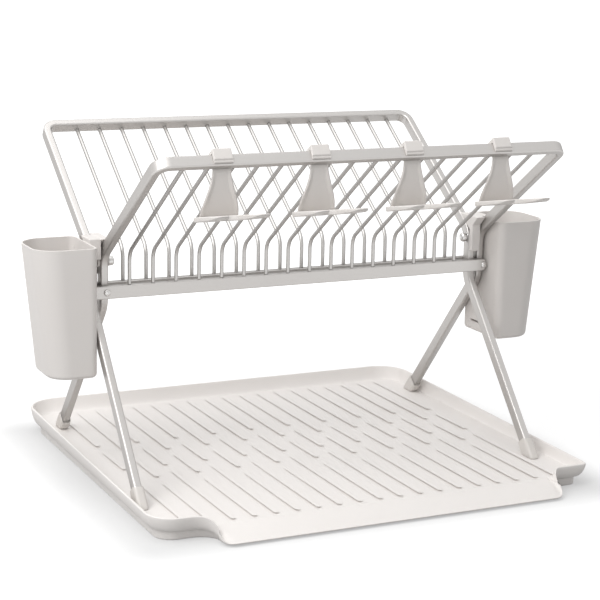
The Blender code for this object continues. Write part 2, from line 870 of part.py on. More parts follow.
bolt_shape = bolt_mesh()
nut_shape = nut_mesh()
washer_start = inner_face - seat_gap - washer_thickness
washer_shape = ring_mesh("washer", washer_start, inner_face - seat_gap, washer_diameter)
spacer_start = inner_side + member_thickness / 2 + seat_gap
spacer_stop = outer_side - member_thickness / 2 - seat_gap
spacer_shape = ring_mesh("spacer", spacer_start, spacer_stop, washer_diameter)
basket_shape = basket_mesh()
slot_shape = basket_slot_mesh()
hook_front_shape, hook_back_shape = hook_mesh()
for side, axis in side_axes:
    make_object(f"{side}_pivot_bolt", bolt_shape, bright_metal, axis)
    make_object(f"{side}_pivot_cap_nut", nut_shape, bright_metal, axis)
    make_object(f"{side}_pivot_washer", washer_shape, bright_metal, axis)
    make_object(f"{side}_pivot_spacer", spacer_shape, cap_plastic, axis)
    basket = make_object(f"{side}_cutlery_basket", basket_shape, cup_plastic, axis)
    for part, mesh in (("front", hook_front_shape), ("back", hook_back_shape)):
        tongue = make_object(f"{side}_basket_hook_{part}", mesh, None, axis)
        hide_helper(tongue)
        boolean(basket, tongue, "UNION")
    slot = make_object(f"{side}_basket_slot", slot_shape, None, axis)
    hide_helper(slot)
    boolean(basket, slot, "DIFFERENCE")

clip_shape = clip_mesh()
plate_shape = plate_mesh()
fork_shape = fork_mesh()
front_axis = wing_axes[0][1]
for i in range(holder_count):
    x = (i - (holder_count - 1) / 2) * holder_pitch
    holder = make_object(f"glass_holder_{i + 1}", clip_shape, cup_plastic, front_axis)
    holder.location = (x, 0, 0)
    for part, mesh in (("plate", plate_shape), ("fork", fork_shape)):
        piece = make_object(f"glass_holder_{i + 1}_{part}", mesh, None, front_axis)
        piece.location = (x, 0, 0)
        hide_helper(piece)
        boolean(holder, piece, "UNION")
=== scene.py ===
import math
import bmesh
import bpy
from mathutils import Matrix, Vector
from mathutils.geometry import interpolate_bezier


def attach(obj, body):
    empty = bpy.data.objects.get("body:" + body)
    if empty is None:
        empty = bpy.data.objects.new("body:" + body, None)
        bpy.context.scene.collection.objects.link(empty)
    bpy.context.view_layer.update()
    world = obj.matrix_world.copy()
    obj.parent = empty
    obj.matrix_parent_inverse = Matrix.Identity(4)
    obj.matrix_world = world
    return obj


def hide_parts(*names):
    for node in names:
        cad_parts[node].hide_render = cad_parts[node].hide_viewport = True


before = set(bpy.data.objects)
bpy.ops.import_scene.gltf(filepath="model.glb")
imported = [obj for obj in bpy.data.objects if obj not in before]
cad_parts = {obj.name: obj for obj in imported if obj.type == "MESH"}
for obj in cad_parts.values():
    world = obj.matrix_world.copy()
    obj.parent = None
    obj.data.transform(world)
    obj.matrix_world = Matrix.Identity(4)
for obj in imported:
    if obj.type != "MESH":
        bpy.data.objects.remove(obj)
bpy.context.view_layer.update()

print("frame loaded,", len(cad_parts), "nodes")

sideAxis = Vector((1, 0, 0))
upAxis = Vector((0, 0, 1))
forwardAxis = Vector((0, -1, 0))
pivotPlace = Vector((0, 0.0175, 0.22519))
halfTurn = Matrix.Rotation(math.pi, 4, "Z")
frontPlace = Matrix.Translation(pivotPlace)
rearPlace = frontPlace @ halfTurn


# materials: every finish varies with the piece's own coordinates
class Signal:
    # a socket of a material that can be used in plain sums
    def __init__(self, finish, socket):
        self.finish = finish
        self.socket = socket

    def maths(self, operation, first, second=0.0):
        return self.finish.node("ShaderNodeMath", {"operation": operation}, {0: first, 1: second})

    def __add__(self, other):
        return self.maths("ADD", self, other)

    def __radd__(self, other):
        return self.maths("ADD", other, self)

    def __sub__(self, other):
        return self.maths("SUBTRACT", self, other)

    def __rsub__(self, other):
        return self.maths("SUBTRACT", other, self)

    def __mul__(self, other):
        return self.maths("MULTIPLY", self, other)

    def __rmul__(self, other):
        return self.maths("MULTIPLY", other, self)


class Network:
    def __init__(self, tree):
        self.tree = tree

    def node(self, kind, settings, inputs, output=0):
        made = self.tree.nodes.new(kind)
        for key, value in settings.items():
            setattr(made, key, value)
        for key, value in inputs.items():
            if isinstance(value, Signal):
                self.tree.links.new(value.socket, made.inputs[key])
            else:
                made.inputs[key].default_value = value
        return Signal(self, made.outputs[output]) if output is not None else None


class Finish(Network):
    def __init__(self, name, slotName, colour, metallic, roughness, specular=0.5):
        self.slotName = slotName
        self.colour = colour
        self.material = bpy.data.materials.new(name)
        self.material.use_nodes = True
        Network.__init__(self, self.material.node_tree)
        self.shader = self.tree.nodes["Principled BSDF"]
        self.shader.inputs["Base Color"].default_value = (*colour, 1)
        self.shader.inputs["Metallic"].default_value = metallic
        self.shader.inputs["Roughness"].default_value = roughness
        self.shader.inputs["Specular IOR Level"].default_value = specular

    def place(self, stretch=(1, 1, 1)):
        spot = self.node("ShaderNodeTexCoord", {}, {}, "Object")
        return self.node("ShaderNodeMapping", {}, {"Vector": spot, "Scale": stretch})

    def noise(self, scale, detail=3.0, stretch=(1, 1, 1)):
        spot = self.place(stretch)
        return self.node("ShaderNodeTexNoise", {}, {"Vector": spot, "Scale": scale, "Detail": detail})

    def tint(self, share, colour):
        # blends the colour towards another by a share that varies
        blend = {0: share, 6: (*self.colour, 1), 7: (*colour, 1)}
        base = self.node("ShaderNodeMix", {"data_type": "RGBA"}, blend, 2)
        self.tree.links.new(base.socket, self.shader.inputs["Base Color"])

    def gloss(self, value):
        self.tree.links.new(value.socket, self.shader.inputs["Roughness"])

    def relief(self, height, distance, strength=1.0):
        bump = self.node("ShaderNodeBump", {}, {"Height": height, "Distance": distance, "Strength": strength})
        self.tree.links.new(bump.socket, self.shader.inputs["Normal"])


satinPaint = Finish("satin_paint", "satin_metal", (0.56, 0.541, 0.525), 0.9, 0.38)
satinPaint.shader.inputs["Specular Tint"].default_value = (0.5, 0.5, 0.5, 1)
grain = satinPaint.noise(900, 2)
satinPaint.tint(satinPaint.noise(14, 3), (0.59, 0.572, 0.555))
satinPaint.gloss(0.38 + 0.08 * grain)
satinPaint.relief(grain, 0.00003, 0.5)

wirePaint = Finish("wire_paint", "painted_wire", (0.52, 0.507, 0.493), 0.9, 0.38)
wirePaint.shader.inputs["Specular Tint"].default_value = (0.3, 0.3, 0.3, 1)
grain = wirePaint.noise(700, 2)
wirePaint.tint(wirePaint.noise(20, 2), (0.56, 0.546, 0.532))
wirePaint.gloss(0.36 + 0.1 * grain)
wirePaint.relief(grain, 0.00003, 0.5)

brightSteel = Finish("bright_steel", "bright_metal", (0.70, 0.69, 0.675), 1.0, 0.25)
streak = brightSteel.noise(300, 3, (1, 8, 1))
brightSteel.tint(streak, (0.62, 0.61, 0.60))
brightSteel.gloss(0.2 + 0.14 * streak)


def mould(name, slotName, colour, patch, patchScale, grainScale, roughness, smoothest, depth, strength):
    # a moulded plastic with large faint patches and a fine skin
    made = Finish(name, slotName, colour, 0.0, roughness)
    skin = made.noise(grainScale, 2)
    made.tint(made.noise(patchScale, 3), patch)
    made.gloss(smoothest + 0.1 * skin)
    made.relief(skin, depth, strength)
    return made


trayMould = mould(
    "tray_mould", "tray_plastic", (0.80, 0.765, 0.74), (0.83, 0.80, 0.775), 9, 750, 0.5, 0.46, 0.0002, 0.6
)
cupMould = mould(
    "cup_mould", "cup_plastic", (0.72, 0.685, 0.66), (0.75, 0.72, 0.695), 16, 1400, 0.5, 0.46, 0.00004, 0.5
)
holderMould = mould(
    "holder_mould", "cup_plastic", (0.70, 0.668, 0.64), (0.73, 0.70, 0.675), 30, 1200, 0.48, 0.44, 0.00004, 0.5
)
capMould = mould(
    "cap_mould", "cap_plastic", (0.64, 0.61, 0.58), (0.68, 0.65, 0.62), 40, 1200, 0.45, 0.42, 0.00004, 0.5
)
print("finishes made")

finishOfSlot = {
    "satin_metal": satinPaint,
    "bright_metal": brightSteel,
    "painted_wire": wirePaint,
    "tray_plastic": trayMould,
    "cup_plastic": cupMould,
    "cap_plastic": capMould,
}
for name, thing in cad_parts.items():
    held = thing.data.materials[0].name.split(".")[0] if thing.data.materials else "satin_metal"
    finish = finishOfSlot.get(held, satinPaint)
    if not thing.data.materials:
        thing.data.materials.append(finish.material)
    for i in range(len(thing.material_slots)):
        thing.material_slots[i].material = finish.material


# tools that turn a few points into closed pieces
def addPiece(name, shape, finish, body, nodes, place=None, sharp=35, weighted=True):
    # turns a finished bmesh into a piece that rides on a body and stands for CAD nodes
    bmesh.ops.remove_doubles(shape, verts=shape.verts, dist=0.000002)
    if place:
        bmesh.ops.transform(shape, matrix=place, verts=shape.verts)
    bmesh.ops.recalc_face_normals(shape, faces=shape.faces)
    mesh = bpy.data.meshes.new(name)
    shape.to_mesh(mesh)
    shape.free()
    mesh.materials.append(finish.material)
    mesh.shade_smooth()
    mesh.set_sharp_from_angle(angle=math.radians(sharp))
    thing = bpy.data.objects.new(name, mesh)
    bpy.context.scene.collection.objects.link(thing)
    if weighted:
        weights = thing.modifiers.new("weights", "WEIGHTED_NORMAL")
        weights.keep_sharp = True
    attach(thing, body)
    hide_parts(*nodes)
    return thing


def pointsIn(made):
    return [g for g in made if isinstance(g, bmesh.types.BMVert)]


def edgesIn(made):
    return [g for g in made if isinstance(g, bmesh.types.BMEdge)]


def axesPlace(origin, alongX, alongY, alongZ):
    turned = Matrix((alongX, alongY, alongZ)).transposed().to_4x4()
    return Matrix.Translation(origin) @ turned


def openEdges(edges):
    return [e for e in edges if e.is_boundary]


def roundedFace(shape, width, height, corner, steps, place):
    # a rounded rectangle as one face, put where it belongs
    made = bmesh.ops.create_grid(shape, x_segments=1, y_segments=1, size=0.5)
    corners = made["verts"]
    bmesh.ops.scale(shape, vec=(width, height, 1), verts=corners)
    made = bmesh.ops.bevel(
        shape, geom=corners, offset=corner, segments=steps, profile=0.5, affect="VERTICES", material=-1
    )
    face = made["verts"][0].link_faces[0]
    bmesh.ops.transform(shape, matrix=place, verts=face.verts)
    return face


def ringOf(shape, face):
    ring = list(face.edges)
    bmesh.ops.delete(shape, geom=[face], context="FACES_ONLY")
    return ring


def runStraight(shape, ring, step):
    if step.length < 1e-7:
        return ring
    made = bmesh.ops.extrude_edge_only(shape, edges=ring)["geom"]
    bmesh.ops.translate(shape, vec=step, verts=pointsIn(made))
    return openEdges(edgesIn(made))


def sweepRing(shape, ring, corners, radii, steps):
    # straight runs between corners, and a spin round each of them
    at = corners[0]
    for before, corner, after, radius in zip(corners, corners[1:], corners[2:], radii):
        into = (corner - before).normalized()
        out = (after - corner).normalized()
        turn = into.angle(out)
        run = radius * math.tan(turn / 2)
        axis = into.cross(out).normalized()
        start = corner - into * run
        ring = runStraight(shape, ring, start - at)
        rim = list(dict.fromkeys(v for e in ring for v in e.verts))
        made = bmesh.ops.spin(
            shape, geom=rim + ring, cent=start + axis.cross(into) * radius, axis=axis, angle=turn, steps=steps
        )
        ring = edgesIn(made["geom_last"])
        at = corner + out * run
    return runStraight(shape, ring, corners[-1] - at)


def closeRing(shape, ring):
    bmesh.ops.edgeloop_fill(shape, edges=ring)


def softenEdges(shape, edges, width, steps=3):
    bmesh.ops.bevel(shape, geom=edges, offset=width, segments=steps, profile=0.5, affect="EDGES", material=-1)


def turnProfile(shape, outline, steps):
    # a few points of (distance along X, radius) spun into a round body
    points = [shape.verts.new((along, 0, radius)) for along, radius in outline]
    edges = [shape.edges.new(pair) for pair in zip(points, points[1:])]
    bmesh.ops.spin(
        shape, geom=points + edges, cent=(0, 0, 0), axis=(1, 0, 0), angle=math.tau, steps=steps, use_merge=True
    )
    bmesh.ops.remove_doubles(shape, verts=shape.verts, dist=0.00001)


def startRing(shape, points):
    ring = [shape.verts.new(p) for p in points]
    for a, b in zip(ring, ring[1:] + ring[:1]):
        shape.edges.new((a, b))
    return ring


def growRing(shape, ring, points):
    # extrudes a ring of vertices and puts the new ones on the given points
    edges = [shape.edges.get((a, b)) for a, b in zip(ring, ring[1:] + ring[:1])]
    fresh = set(pointsIn(bmesh.ops.extrude_edge_only(shape, edges=edges)["geom"]))
    following = []
    for old, point in zip(ring, points):
        new = next(e.other_vert(old) for e in old.link_edges if e.other_vert(old) in fresh)
        new.co = point
        following.append(new)
    return following


def bendThrough(start, corner, stop, steps):
    # points of a smooth corner, from its start to its stop
    hold = 0.5523
    return interpolate_bezier(start, start.lerp(corner, hold), stop.lerp(corner, hold), stop, steps + 1)


rack = {
    "outerSide": 0.2236,
    "innerSide": 0.2122,
    "halfWidth": 0.2276,
    "wingAngle": math.radians(54.6),
    "legAngle": math.radians(40.5),
    "wingBendRise": 0.0064,
    "legBendDrop": 0.044,
    "wingLength": 0.1966,
    "legLength": 0.2204,
    "memberThick": 0.008,
    "memberWide": 0.012,
    "gap": 0.0003,
}
armWay = Vector((0, -math.sin(rack["wingAngle"]), math.cos(rack["wingAngle"])))
armNormal = Vector((0, math.cos(rack["wingAngle"]), math.sin(rack["wingAngle"])))
legWay = Vector((0, math.sin(rack["legAngle"]), -math.cos(rack["legAngle"])))
legNormal = Vector((0, math.cos(rack["legAngle"]), math.sin(rack["legAngle"])))
wingBend = Vector((0, 0, rack["wingBendRise"]))
legBend = Vector((0, 0, -rack["legBendDrop"]))

frameShape = {
    "corner": 0.0018,
    "cornerSteps": 4,
    "sideBend": 0.026,
    "topLeftBend": 0.012,
    "topRightBend": 0.012,
    "bendSteps": 10,
    "sole": 0.0062,
}


def buildFrame(sizes):
    shape = bmesh.new()
    end = rack["legLength"] - sizes["sole"] / math.cos(rack["legAngle"])
    foot = legBend + legWay * end
    top = wingBend + armWay * (rack["wingLength"] - rack["memberThick"] / 2)
    left = -sideAxis * rack["innerSide"]
    right = sideAxis * rack["outerSide"]
    corners = [foot + left, legBend + left, wingBend + left, top + left]
    corners += [top + right, wingBend + right, legBend + right, foot + right]
    bend = sizes["sideBend"]
    radii = [bend, bend, sizes["topLeftBend"], sizes["topRightBend"], bend, bend]
    start = axesPlace(corners[0], sideAxis, legNormal, -legWay)
    corner = sizes["corner"]
    face = roundedFace(shape, rack["memberThick"], rack["memberWide"], corner, sizes["cornerSteps"], start)
    ring = ringOf(shape, face)
    last = sweepRing(shape, ring, corners, radii, sizes["bendSteps"])
    closeRing(shape, last)
    closeRing(shape, [e for e in shape.edges if e.is_boundary])
    return shape


for wing, place in (("front", frontPlace), ("rear", rearPlace)):
    shape = buildFrame(frameShape)
    addPiece(f"{wing}_frame_tube", shape, satinPaint, f"{wing}_wing", [f"{wing}_wing_frame"], place)
print("wing frames made")

barShape = {
    "height": 0.0131,
    "depth": 0.0077,
    "topDrop": 0.0233,
    "halfLength": 0.2262,
    "edge": 0.0010,
    "endCorner": 0.0034,
    "endSteps": 5,
}
screwShape = {
    "shankLength": 0.0136,
    "shankRadius": 0.0015,
    "headRadius": 0.0034,
    "headEdge": 0.0004,
    "shoulderRadius": 0.0031,
    "shoulder": 0.0009,
    "crownRadius": 0.0024,
    "crown": 0.0013,
    "height": 0.0015,
    "socketEdge": 0.0013,
    "socketRadius": 0.0011,
    "sides": 24,
}
barBack = rack["memberWide"] / 2 + rack["gap"]
barMiddle = barBack + barShape["depth"] / 2
barDrop = barShape["topDrop"] + barShape["height"] / 2
for wing, place in (("front", frontPlace), ("rear", rearPlace)):
    shape = bmesh.new()
    face = roundedFace(
        shape,
        barShape["halfLength"] * 2,
        barShape["height"],
        barShape["endCorner"],
        barShape["endSteps"],
        axesPlace(Vector((0, -barMiddle + barShape["depth"] / 2, -barDrop)), sideAxis, upAxis, forwardAxis),
    )
    made = bmesh.ops.extrude_face_region(shape, geom=[face], use_keep_orig=True)["geom"]
    bmesh.ops.translate(shape, vec=(0, -barShape["depth"], 0), verts=pointsIn(made))
    rims = [e for e in shape.edges if abs(e.verts[0].co.y - e.verts[1].co.y) < 1e-6]
    softenEdges(shape, rims, barShape["edge"], 3)
    addPiece(f"{wing}_crossbar", shape, satinPaint, f"{wing}_wing", [f"{wing}_bar"], place)
    for spot, side in (("inner", -rack["innerSide"]), ("outer", rack["outerSide"])):
        shape = bmesh.new()
        seat = barBack + barShape["depth"] + rack["gap"]
        sizes = screwShape
        dome = (
            (-sizes["shankLength"], 0),
            (-sizes["shankLength"], sizes["shankRadius"]),
            (0.0, sizes["shankRadius"]),
            (0.0, sizes["headRadius"]),
            (sizes["headEdge"], sizes["headRadius"]),
            (sizes["shoulder"], sizes["shoulderRadius"]),
            (sizes["crown"], sizes["crownRadius"]),
            (sizes["height"], sizes["socketEdge"]),
            (sizes["shoulder"], sizes["socketRadius"]),
            (sizes["shoulder"], 0),
        )
        turnProfile(shape, dome, sizes["sides"])
        turn = place @ axesPlace(Vector((side, -seat, -barDrop)), forwardAxis, sideAxis, -upAxis)
        screw = [f"{wing}_bar_screw_{spot}"]
        addPiece(f"{wing}_domed_screw_{spot}", shape, brightSteel, f"{wing}_wing", screw, turn)
print("crossbars and screws made")

wireShape = {
    "count": 16,
    "pitch": 0.025,
    "radius": 0.002,
    "sides": 12,
    "bend": 0.018,
    "bendSteps": 9,
    "drop": 0.0035,
}


def inWing(x, along, over):
    return wingBend + armWay * along + armNormal * over + sideAxis * x


def buildWire(x):
    shape = bmesh.new()
    top = inWing(x, rack["wingLength"] - rack["memberThick"] - rack["gap"], -wireShape["drop"])
    corner = top - armWay * ((barMiddle + top.y) / armWay.y)
    bottom = Vector((x, -barMiddle, -barShape["topDrop"] + rack["gap"]))
    sides, radius = wireShape["sides"], wireShape["radius"]
    made = bmesh.ops.create_circle(shape, cap_ends=False, segments=sides, radius=radius)
    bmesh.ops.translate(shape, vec=bottom, verts=made["verts"])
    sweepRing(shape, list(shape.edges), [bottom, corner, top], [wireShape["bend"]], wireShape["bendSteps"])
    bmesh.ops.holes_fill(shape, edges=openEdges(shape.edges), sides=0)
    return shape


for wing, place in (("front", frontPlace), ("rear", rearPlace)):
    for i in range(wireShape["count"]):
        x = (i - (wireShape["count"] - 1) / 2) * wireShape["pitch"]
        number = f"{i + 1:02d}"
        wire = [f"{wing}_wire_{number}"]
        addPiece(f"{wing}_plate_wire_{number}", buildWire(x), wirePaint, f"{wing}_wing", wire, place)
print("plate wires made")

bootShape = {
    "length": 0.0178,
    "arch": 0.003,
    "sideWall": 0.0013,
    "endWall": 0.0023,
    "corner": 0.0034,
    "toe": 0.0036,
    "bulge": 1.015,
    "sole": 0.004,
    "lip": 0.0009,
    "lipDepth": 0.003,
    "cornerSteps": 5,
}


def buildBoot(x, sizes):
    shape = bmesh.new()
    thin = rack["memberThick"] + 2 * sizes["sideWall"]
    wide = rack["memberWide"] + 2 * sizes["endWall"]
    soleHeight = -rack["legBendDrop"] - rack["legLength"] * math.cos(rack["legAngle"])
    cuff = legBend + legWay * (rack["legLength"] - sizes["length"]) + sideAxis * x
    start = axesPlace(cuff, sideAxis, legNormal, -legWay)
    face = roundedFace(shape, thin, wide, sizes["corner"], sizes["cornerSteps"], start)
    points = list(face.verts)
    centre = cuff.copy()

    def level(swell, rise):
        placed = []
        for p in rim:
            spot = centre + (p - centre) * swell
            placed.append(spot + legWay * ((soleHeight + rise - spot.z) / legWay.z))
        return placed

    def band(swell, down):
        # the cuff's edge rises to a low arch in the middle of each broad side
        placed = []
        for p in rim:
            arch = sizes["arch"] * (1 - ((p - centre).dot(legNormal) * 2 / wide) ** 2)
            placed.append(centre + (p - centre) * swell + legWay * (down - arch))
        return placed

    rim = [v.co.copy() for v in points]
    ring = points
    for p, spot in zip(points, band(0.97, 0.0)):
        p.co = spot
    for placed in (
        band(1.0, 0.0009),
        band(sizes["bulge"], 0.004),
        level(sizes["bulge"] + 0.01, 0.006),
        level(sizes["bulge"], sizes["toe"]),
        level(sizes["bulge"] * 0.985, sizes["toe"] * 0.6),
        level(0.96, sizes["toe"] * 0.28),
        level(0.90, sizes["toe"] * 0.08),
        level(0.82, 0.0),
    ):
        ring = growRing(shape, ring, placed)
    shape.faces.new(ring)
    bmesh.ops.inset_region(shape, faces=[face], thickness=sizes["lip"], use_even_offset=True)
    made = bmesh.ops.extrude_face_region(shape, geom=[face])["geom"]
    bmesh.ops.translate(shape, vec=legWay * sizes["lipDepth"], verts=pointsIn(made))
    return shape


for wing, place in (("front", frontPlace), ("rear", rearPlace)):
    for spot, side in (("inner", -rack["innerSide"]), ("outer", rack["outerSide"])):
        shape = buildBoot(side, bootShape)
        cap = [f"{wing}_frame_foot_cap_{spot}"]
        addPiece(f"{wing}_boot_{spot}", shape, capMould, f"{wing}_wing", cap, place)
print("boots made")

pivotShape = {
    "boltRadius": 0.0025,
    "headRadius": 0.00475,
    "headHeight": 0.0012,
    "nutRadius": 0.005,
    "nutLength": 0.0062,
    "washerRadius": 0.0058,
    "washerThick": 0.0008,
    "sides": 32,
}
innerFace = rack["innerSide"] - rack["memberThick"] / 2
for side, place in (("right", frontPlace), ("left", rearPlace)):
    sizes = pivotShape
    gap = rack["gap"]
    nutFace = innerFace - sizes["washerThick"] - 2 * gap
    headOut = rack["halfWidth"] - gap
    headIn = headOut - sizes["headHeight"]
    tip = nutFace - sizes["nutLength"] + 0.0018
    shank = sizes["boltRadius"]
    head = sizes["headRadius"]
    shape = bmesh.new()
    turnProfile(
        shape,
        (
            (tip, 0),
            (tip, shank - 0.0003),
            (tip + 0.0004, shank),
            (headIn, shank),
            (headIn, head),
            (headOut - 0.0004, head),
            (headOut, head - 0.0006),
            (headOut, 0.0017),
            (headOut - 0.0008, 0.0014),
            (headOut - 0.0008, 0),
        ),
        sizes["sides"],
    )
    addPiece(f"{side}_bolt", shape, brightSteel, "rack", [f"{side}_pivot_bolt"], place)
    shape = bmesh.new()
    back = nutFace - sizes["nutLength"]
    radius = sizes["nutRadius"]
    dome = ((0.0, 0.0), (0.02, 0.34), (0.07, 0.62), (0.16, 0.83), (0.28, 0.95), (0.42, 1.0))
    dome += ((0.94, 1.0), (1.0, 0.94))
    outline = [(back + sizes["nutLength"] * along, radius * share) for along, share in dome]
    outline += [(nutFace, shank + gap), (back + 0.0015, shank + gap), (back + 0.0015, 0)]
    turnProfile(shape, outline, sizes["sides"])
    addPiece(f"{side}_cap_nut", shape, brightSteel, "rack", [f"{side}_pivot_cap_nut"], place)
    outerFace = rack["innerSide"] + rack["memberThick"] / 2 + gap
    spacerEnd = rack["outerSide"] - rack["memberThick"] / 2 - gap
    for name, start, stop, finish in (
        ("washer", innerFace - gap - sizes["washerThick"], innerFace - gap, brightSteel),
        ("spacer", outerFace, spacerEnd, capMould),
    ):
        shape = bmesh.new()
        rim = sizes["washerRadius"]
        hole = shank + gap
        edge = 0.0002
        outline = ((start, hole), (start, rim - edge), (start + edge, rim))
        outline += ((stop - edge, rim), (stop, rim - edge), (stop, hole), (start, hole))
        turnProfile(shape, outline, sizes["sides"])
        addPiece(f"{side}_{name}", shape, finish, "rack", [f"{side}_pivot_{name}"], place)
print("pivots made")

trayShape = {
    "halfWidth": 0.2365,
    "back": 0.209,
    "front": 0.2135,
    "corner": 0.027,
    "backCorner": 0.035,
    "sharpCorner": 0.006,
    "rimBack": 0.0285,
    "rimFront": 0.024,
    "rimThick": 0.0028,
    "floor": 0.0133,
    "floorThick": 0.003,
    "skirt": 0.0085,
    "skirtInset": 0.0085,
    "skirtBackInset": 0.0165,
    "skirtThick": 0.003,
    "sideRun": 0.0042,
    "backRun": 0.008,
    "spoutReach": 0.244,
    "spoutLeft": 0.179,
    "spoutRight": 0.192,
    "tip": 0.013,
    "leftNotch": 0.023,
    "rightNotch": 0.012,
    "spoutRun": 0.034,
    "edge": 0.0006,
    "rimBend": 0.001,
    "spoutLip": 0.0032,
    "spoutTop": 0.0047,
    "steps": 12,
    "place": (0, 0.0175, 0),
}
ribShape = {
    "count": 19,
    "pitch": 0.0222,
    "width": 0.0044,
    "rise": 0.0017,
    "rearShare": 0.5,
    "foot": 0.0007,
    "sunk": 0.0002,
    "back": 0.190,
    "front": -0.208,
    "gap": 0.019,
    "longBreak": 0.055,
    "step": 0.034,
    "middle": 0.066,
}


def traySide(inset, backInset, reach, tipInset, corner, spoutX, notch):
    # the left side of a ring, from the back to the spout, with each point's share of the wall's height
    sizes = trayShape
    half = sizes["halfWidth"] - inset
    back = sizes["back"] - backInset
    front = -(sizes["front"] - inset)
    backCorner = max(sizes["backCorner"] - inset, sizes["sharpCorner"])
    corner = max(corner - inset, sizes["sharpCorner"])
    x = spoutX - tipInset
    tip = min(sizes["tip"], (front + reach) / 2)
    drop = min(notch, (front + reach) * 0.56)
    flat = Vector((1, 1, 0))
    bends = (
        ((backCorner - half, back), (-half, back), (-half, back - backCorner)),
        ((-half, front + corner), (-half, front), (corner - half, front)),
        ((-x - notch, front), (-x, front), (-x, front - drop)),
        ((-x, tip - reach), (-x, -reach), (tip - x, -reach)),
    )
    points = []
    for start, bend, stop in bends:
        points += bendThrough(Vector((*start, 0)), Vector((*bend, 0)), Vector((*stop, 0)), sizes["steps"])
    shares = []
    count = sizes["steps"] + 1
    for i in range(4 * count):
        along = max(0, (i - 2 * count) * 6 / sizes["steps"] + (0.5 if i >= 3 * count else 0))
        share = min(max((along - 1.4) / 9.6, 0), 1)
        shares.append(1 - share * share * (3 - 2 * share))
    return points, shares


def trayRing(inset, backInset, wallHeight, edgeHeight, reach, tipInset):
    sizes = trayShape
    leftEnd = (sizes["corner"], sizes["spoutLeft"], sizes["leftNotch"])
    rightEnd = (sizes["sharpCorner"], sizes["spoutRight"], sizes["rightNotch"])
    left, leftShares = traySide(inset, backInset, reach, tipInset, *leftEnd)
    right, rightShares = traySide(inset, backInset, reach, tipInset, *rightEnd)
    flipped = [Vector((-p.x, p.y, 0)) for p in reversed(right)]
    ring = []
    for p, share in zip(left + flipped, leftShares + rightShares[::-1]):
        ring.append(Vector((p.x, p.y, edgeHeight + (wallHeight(p.y) - edgeHeight) * share)))
    return ring


def rimTop(y):
    sizes = trayShape
    share = (y + sizes["front"]) / (sizes["back"] + sizes["front"])
    return sizes["rimFront"] + (sizes["rimBack"] - sizes["rimFront"]) * share


def buildTray():
    sizes = trayShape
    shape = bmesh.new()
    reach = sizes["spoutReach"]
    flat = reach - sizes["spoutRun"]
    under = sizes["floor"] - sizes["floorThick"]
    skirtIn = sizes["skirtInset"] + sizes["skirtThick"]
    skirt = sizes["skirt"]
    out = sizes["skirtInset"]
    backOut = sizes["skirtBackInset"]
    backIn = backOut + sizes["skirtThick"]
    foot = sizes["rimThick"] + sizes["sideRun"]
    edge, bend, lip, lipTop = (sizes[key] for key in ("edge", "rimBend", "spoutLip", "spoutTop"))
    rim = sizes["rimThick"]

    def flatAt(height):
        return lambda y: height

    def wallAt(share):
        return lambda y: skirt + (rimTop(y) - skirt) * share

    def coveAt(share):
        return lambda y: sizes["floor"] + (rimTop(y) - bend - sizes["floor"]) * share

    rings = [
        trayRing(skirtIn + rim, backIn + rim, flatAt(under), under, flat, foot),
        trayRing(skirtIn, backIn, flatAt(under - 0.0008), under / 4, reach - 2 * skirtIn, skirtIn),
        trayRing(skirtIn, backIn, flatAt(0.0005), 0.0003, reach - 2 * out, out),
        trayRing(skirtIn - edge, backIn - edge, flatAt(0), 0, reach - 2 * out + edge, out - edge),
        trayRing(out + 0.0013, backOut + 0.0013, flatAt(0), 0, reach - out, out / 2 + 0.0004),
        trayRing(out + 0.0004, backOut + 0.0004, flatAt(0.0005), 0.0003, reach - out + 0.0004, out / 2 + 0.0002),
        trayRing(out, backOut, flatAt(0.0014), 0.0007, reach - out + 0.0008, out / 2),
        trayRing(out, backOut, flatAt(skirt - edge), 0.0016, reach - 0.0030, 0.0022),
        trayRing(out - edge, backOut - edge, flatAt(skirt), 0.0019, reach - 0.0018, 0.0014),
        trayRing(out - 0.0012, backOut - 0.0014, flatAt(skirt + 0.0002), 0.0021, reach - 0.0012, 0.0010),
        trayRing(out * 0.66, backOut * 0.66, wallAt(0.07), 0.0024, reach - 0.0008, 0.0008),
        trayRing(out * 0.45, backOut * 0.45, wallAt(0.18), 0.0027, reach - 0.0004, 0.0003),
        trayRing(out * 0.27, backOut * 0.27, wallAt(0.34), 0.0030, reach - 0.0001, 0),
        trayRing(out * 0.13, backOut * 0.13, wallAt(0.54), 0.0033, reach, 0),
        trayRing(out * 0.04, backOut * 0.04, wallAt(0.76), 0.0036, reach, 0),
        trayRing(0, 0, lambda y: rimTop(y) - bend, 0.0038, reach, 0),
        trayRing(0.0003, 0.0003, lambda y: rimTop(y) - 0.0003, 0.0041, reach - 0.0003, 0),
        trayRing(bend, bend, rimTop, 0.0043, reach - bend, 0),
        trayRing(0.0019, 0.0019, rimTop, 0.0044, reach - 0.0019, 0),
        trayRing(0.0025, 0.0025, lambda y: rimTop(y) - 0.0003, 0.0045, reach - 0.0026, 0),
        trayRing(rim, rim, lambda y: rimTop(y) - bend, lipTop, reach - lip, 0),
    ]
    for i in range(1, 7):
        share = i / 6
        rise = sizes["floor"] - lipTop
        rings.append(
            trayRing(
                rim + sizes["sideRun"] * share,
                rim + sizes["backRun"] * share,
                coveAt((1 - share) ** 2.2),
                lipTop + rise * (1 - (1 - share) ** 1.6),
                reach - lip - (sizes["spoutRun"] - lip) * share,
                foot / 2 * share,
            )
        )
    ring = startRing(shape, rings[0])
    shape.faces.new(ring)
    for points in rings[1:]:
        ring = growRing(shape, ring, points)
    shape.faces.new(ring)
    return shape


